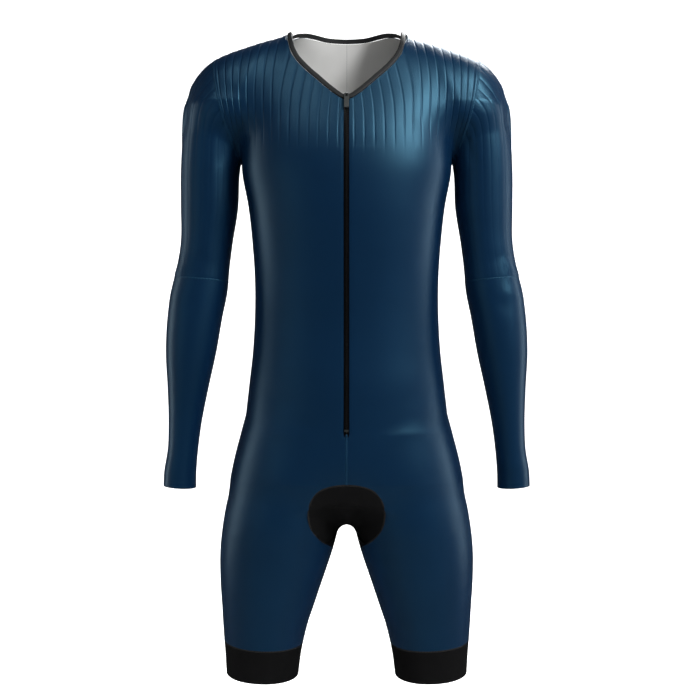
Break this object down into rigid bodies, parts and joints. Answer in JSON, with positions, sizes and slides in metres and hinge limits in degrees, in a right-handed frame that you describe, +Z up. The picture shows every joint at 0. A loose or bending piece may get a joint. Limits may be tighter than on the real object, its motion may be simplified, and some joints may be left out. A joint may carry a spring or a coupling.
{
  "type": "cycling skinsuit",
  "caption": "Close-fitting long-sleeved one-piece cycling suit with a front zip, ribbed shoulders and sleeves, and elastic leg bands, filled out as if worn.",
  "frame": {"origin": "middle of the neck opening, level with the points where the neckline crosses the shoulders", "axes": "+Z up along the body, +X towards the wearer's left, -Y out of the front"},
  "size_m": [0.548, 0.2341, 0.9738],
  "materials": {
    "jersey": "smooth navy stretch jersey",
    "ribbed": "ribbed navy stretch jersey",
    "elastic": "matt black elastic",
    "coil": "black coil zip",
    "metal": "dark enamelled zinc"
  },
  "bodies": {
    "suit": {"front_left": "jersey", "front_right": "jersey", "back_left": "jersey", "back_right": "jersey", "sleeve_upper_left": "ribbed", "sleeve_upper_right": "ribbed", "sleeve_lower_left": "jersey", "sleeve_lower_right": "jersey", "leg_band_left": "elastic", "leg_band_right": "elastic", "crotch_insert": "elastic", "neck_binding": "elastic", "zip_tape_left": "coil", "zip_tape_right": "coil", "zip_chain": "coil", "zip_stop": "coil", "zip_slider": "metal"},
    "pull": {"zip_pull": "metal"}
  },
  "joints": [
    {"name": "pull_hinge", "type": "hinge", "parent": "suit", "child": "pull", "pos_m": [0, -0.09366, -0.11013], "axis": [-1, 0, 0], "range_deg": [0, 150]}
  ]
}
